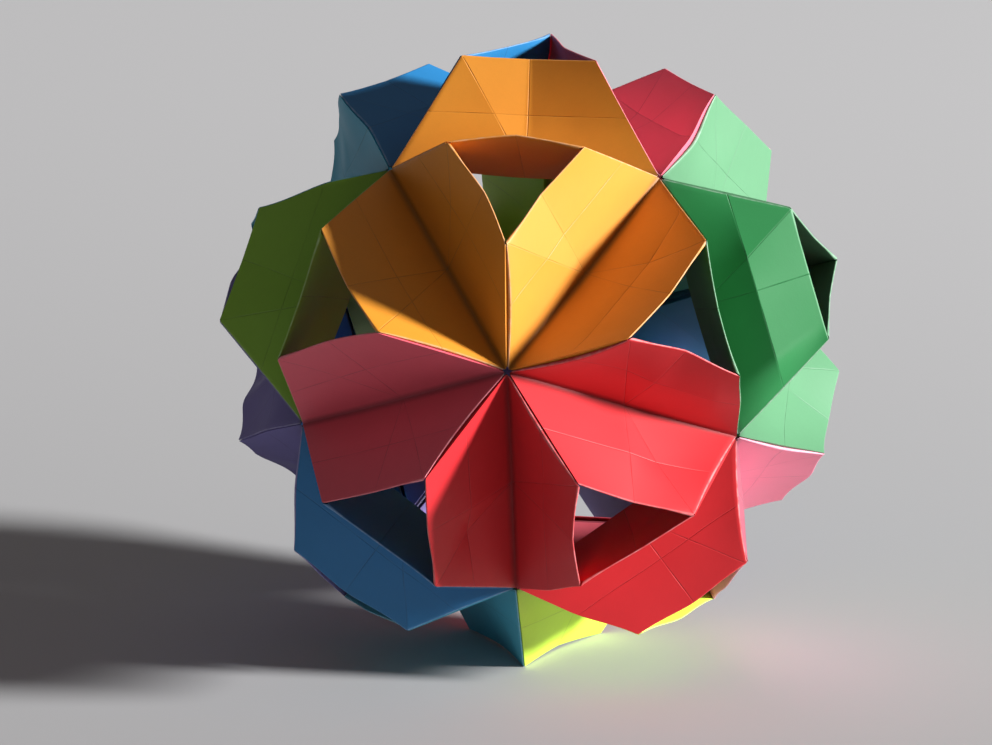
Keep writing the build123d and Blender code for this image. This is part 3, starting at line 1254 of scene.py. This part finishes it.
@dataclass
class PaperBall:
    """The whole ball: where its sunken points are, and the thirty units between them.

    Attributes:
        folds: sizes of the sheet and its folds.
        turn: how far the ball is turned about the upright, in degrees.
        seed: what every draw by chance starts from.
        neighbour_reach: how far apart two joined sunken points may lie, in edges.
    """

    folds: SheetFolds = field(default_factory=SheetFolds)
    turn: float = -5.8
    seed: int = 41
    neighbour_reach: float = 1.01

    @property
    def centre(self) -> Vector:
        """Finds the middle of the ball, which stands on the rim of a window.

        Returns:
            The point, right above the origin.
        """
        folds = self.folds
        rim = folds.wing_height * math.sin(folds.lean) - folds.rim_radius * math.cos(folds.lean)
        return Vector((0, 0, FACE_LEVEL * folds.edge + rim))

    def sunken_points(self) -> dict[str, Vector]:
        """Sets out the sunken points.

        Returns:
            The place of each by its name, which is its ring's and its side's.
        """
        places = {}
        for name, ring in RINGS.items():
            for side, angle in ring.stations.items():
                # The front is the side of negative y, a quarter turn back from the x axis
                turn = math.radians(angle + self.turn - 90)
                spoke = Vector((math.cos(turn) * ring.radius, math.sin(turn) * ring.radius, ring.level))
                places[f"{name} {side}"] = self.centre + spoke * self.folds.edge
        return places

    def unit_place(self, first: Vector, second: Vector) -> Matrix:
        """Place of a unit whose valley runs from one sunken point to the next.

        Args:
            first: the sunken point that it begins at.
            second: the sunken point that it ends at.

        Returns:
            The turn and shift from the unit's frame to the ball's.
        """
        middle = (first + second) / 2
        x_axis = (second - first).normalized()
        z_axis = (middle - self.centre).normalized()
        axes = Matrix((x_axis, z_axis.cross(x_axis), z_axis)).transposed()
        return Matrix.Translation(middle) @ axes.to_4x4()

    def settling(self) -> Settling:
        """How the ball has eased out of shape.

        Returns:
            The drift of the whole, with the corners that stand off their places.
        """
        folds = self.folds
        points = self.sunken_points()
        inset = folds.wing_height / math.tan(folds.leg_angle) - folds.length / 2
        nudges = []
        for (first, second, third), (right, up) in OFF_CORNERS.items():
            place = self.unit_place(points[first], points[second])
            top = folds.up_wing * folds.wing_height
            side = 1 if (place.inverted() @ points[third]).y > 0 else -1
            corner = place @ Vector((inset, top.y * side, top.z))
            nudges.append(Nudge(corner, Vector((right, 0, up)) * MM))
        return Settling(tuple(nudges))

    def wing_shapes(
        self, first: str, second: str, points: dict[str, Vector], draw: random.Random
    ) -> tuple[WingShape, WingShape]:
        """Finds the shapes of a unit's two wings.

        Args:
            first: the sunken point that the unit begins at.
            second: the sunken point that it ends at.
            points: the place of every sunken point.
            draw: the seeded source of chance.

        Returns:
            The shapes of the wing on the side of positive y and of the other.
        """
        edge = self.folds.edge * self.neighbour_reach
        back = self.unit_place(points[first], points[second]).inverted()
        shapes = {}
        for name, point in points.items():
            near = all((point - points[end]).length < edge for end in (first, second))
            if near and name not in (first, second):
                by_chance = WingShape.chance(draw)
                sizes = SEEN_WINGS.get((first, second, name))
                side = (back @ point).y > 0
                shapes[side] = WingShape.seen(*sizes) if sizes else by_chance
        return shapes[True], shapes[False]

    def units(self) -> list[Unit]:
        """Sets out every unit of the ball.

        Returns:
            The units, in the order that the nodes of a colour are numbered in.
        """
        draw = random.Random(self.seed)
        points = self.sunken_points()
        counts = dict.fromkeys(Tone, 0)
        units = []
        for number, (first, second, tone) in enumerate(UNITS):
            counts[tone] += 1
            units.append(Unit(
                name=f"{tone.value}_unit_{counts[tone]}",
                tone=tone,
                place=self.unit_place(points[first], points[second]),
                wings=self.wing_shapes(first, second, points, draw),
                number=number,
                folds=self.folds,
            ))
        return units

    def build(self) -> None:
        """Folds and dresses every unit, and sets each in the place of its node."""
        shared = PaperGroups(self.folds)
        groups = {
            "fibres": shared.fibres(),
            "fold_lines_and_shading": shared.fold_lines_and_shading(),
            "edge_highlight": shared.edge_highlight(),
        }
        papers = {t: FINISHES[t].material(f"{t.value}_paper", groups) for t in Tone}
        # The drift reads its noise at a place drawn by chance, so it is given the seed as well
        noise.seed_set(self.seed)
        settling = self.settling()
        for unit in self.units():
            piece = unit.build(settling)
            piece.data.materials.append(papers[unit.tone])
            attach(piece, "root")
            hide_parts(unit.name)
            log.info("%s: %d faces", piece.name, len(piece.data.polygons))


@dataclass
class Studio:
    """Floor, lamp, sky and camera round the ball.

    Attributes:
        centre: middle of the ball.
        floor_size: side of the floor's square.
        floor_parts: how many parts each side of it is divided into.
        floor_tone: its colour as six hex digits.
        floor_roughness: how far it spreads a reflection.
        floor_gloss: how strongly it reflects.
        key_distance: how far the lamp is from the ball.
        key_size: how wide the lamp is.
        key_power: its power in watts.
        key_azimuth: side that the lamp is on, in degrees.
        key_lift: how high the lamp is, in degrees.
        key_aim: how far behind the ball the lamp is turned.
        key_spread: width of the lamp's beam, in degrees.
        sky_tone: colour of the sky's light.
        sky_light: strength of the sky overhead.
        horizon_light: strength of the sky at the horizon and below.
        camera_distance: how far the camera is from the ball.
        camera_lift: how high the camera is, in degrees.
        camera_lens: its focal length in millimetres.
        camera_sensor: the width of its sensor in millimetres.
        camera_far: how far it sees.
        aim_right: how far the ball stands to the right of the picture's middle.
        aim_up: how far it stands above it.
    """

    centre: Vector
    floor_size: float = 12.0
    floor_parts: int = 4
    floor_tone: str = "C0C0C1"
    floor_roughness: float = 0.9
    floor_gloss: float = 0.1
    key_distance: float = 6.0
    key_size: float = 0.85
    key_power: float = 36.0
    key_azimuth: float = 77.3
    key_lift: float = 17.0
    key_aim: float = 0.6
    key_spread: float = 32.0
    sky_tone: tuple[float, float, float, float] = (1.0, 0.91, 0.91, 1.0)
    sky_light: float = 0.17
    horizon_light: float = 0.04
    camera_distance: float = 1426.1 * MM
    camera_lift: float = 16.06
    camera_lens: float = 262.66
    camera_sensor: float = 36.0
    camera_far: float = 30.0
    aim_right: float = 7.12 * MM
    aim_up: float = 4.58 * MM

    def floor(self) -> None:
        """A plain pale sheet for the ball to stand on."""
        bm = bmesh.new()
        parts, size = self.floor_parts, self.floor_size / 2
        bmesh.ops.create_grid(bm, x_segments=parts, y_segments=parts, size=size)
        mesh = bpy.data.meshes.new("floor")
        bm.to_mesh(mesh)
        bm.free()
        floor = bpy.data.objects.new("floor", mesh)
        bpy.context.scene.collection.objects.link(floor)
        material = bpy.data.materials.new("floor")
        material.use_nodes = True
        shader = material.node_tree.nodes["Principled BSDF"]
        shader.inputs["Base Color"].default_value = linear(self.floor_tone)
        shader.inputs["Roughness"].default_value = self.floor_roughness
        shader.inputs["Specular IOR Level"].default_value = self.floor_gloss
        mesh.materials.append(material)

    def direction(self, azimuth: float, lift: float) -> Vector:
        """Direction away from the ball.

        Args:
            azimuth: the side in degrees, where 0 is the camera's and 90 is the right.
            lift: how high, in degrees.

        Returns:
            The direction, of length 1.
        """
        turn, rise = math.radians(azimuth), math.radians(lift)
        level = math.cos(rise)
        return Vector((math.sin(turn) * level, -math.cos(turn) * level, math.sin(rise)))

    def lights(self) -> None:
        """One soft key lamp from the right, turned to the far floor, and a pale sky overhead."""
        lamp = bpy.data.lights.new("key", "AREA")
        lamp.shape = "DISK"
        lamp.size = self.key_size
        lamp.energy = self.key_power
        lamp.spread = math.radians(self.key_spread)
        key = bpy.data.objects.new("key", lamp)
        away = self.direction(self.key_azimuth, self.key_lift)
        key.location = self.centre + away * self.key_distance
        beam = key.location - self.centre - Vector((0, self.key_aim, 0))
        key.rotation_euler = beam.to_track_quat("Z", "Y").to_euler()
        bpy.context.scene.collection.objects.link(key)
        world = bpy.data.worlds.new("studio")
        world.use_nodes = True
        table = NodeTable(world.node_tree)
        looking = table.add("ShaderNodeTexCoord").outputs["Generated"]
        upward = table.add("ShaderNodeSeparateXYZ", {"Vector": looking}).outputs[2]
        rising = table.math("MAXIMUM", upward, 0.0)
        span = self.sky_light - self.horizon_light
        strength = table.math("MULTIPLY_ADD", rising, span, self.horizon_light)
        background = world.node_tree.nodes["Background"]
        background.inputs["Color"].default_value = self.sky_tone
        table.feed(background.inputs["Strength"], strength)
        bpy.context.scene.world = world

    def camera(self) -> None:
        """The camera, at the photograph's viewing angle and with its framing."""
        lens = bpy.data.cameras.new("camera")
        lens.sensor_width = self.camera_sensor
        lens.lens = self.camera_lens
        lens.clip_end = self.camera_far
        back = self.direction(0, self.camera_lift)
        right = Vector((1, 0, 0))
        up = back.cross(right)
        place = self.centre + back * self.camera_distance - right * self.aim_right - up * self.aim_up
        camera = bpy.data.objects.new("camera", lens)
        axes = Matrix((right, up, back)).transposed()
        camera.matrix_world = Matrix.Translation(place) @ axes.to_4x4()
        bpy.context.scene.collection.objects.link(camera)
        bpy.context.scene.camera = camera

    def build(self) -> None:
        """Sets up the whole studio."""
        self.floor()
        self.lights()
        self.camera()
        bpy.context.scene.view_settings.view_transform = "Standard"


def main() -> None:
    """Builds the ball and its studio."""
    logging.basicConfig(level=logging.INFO, format="%(name)s: %(message)s")
    ball = PaperBall()
    ball.build()
    Studio(ball.centre).build()


if __name__ == "__main__":
    main()
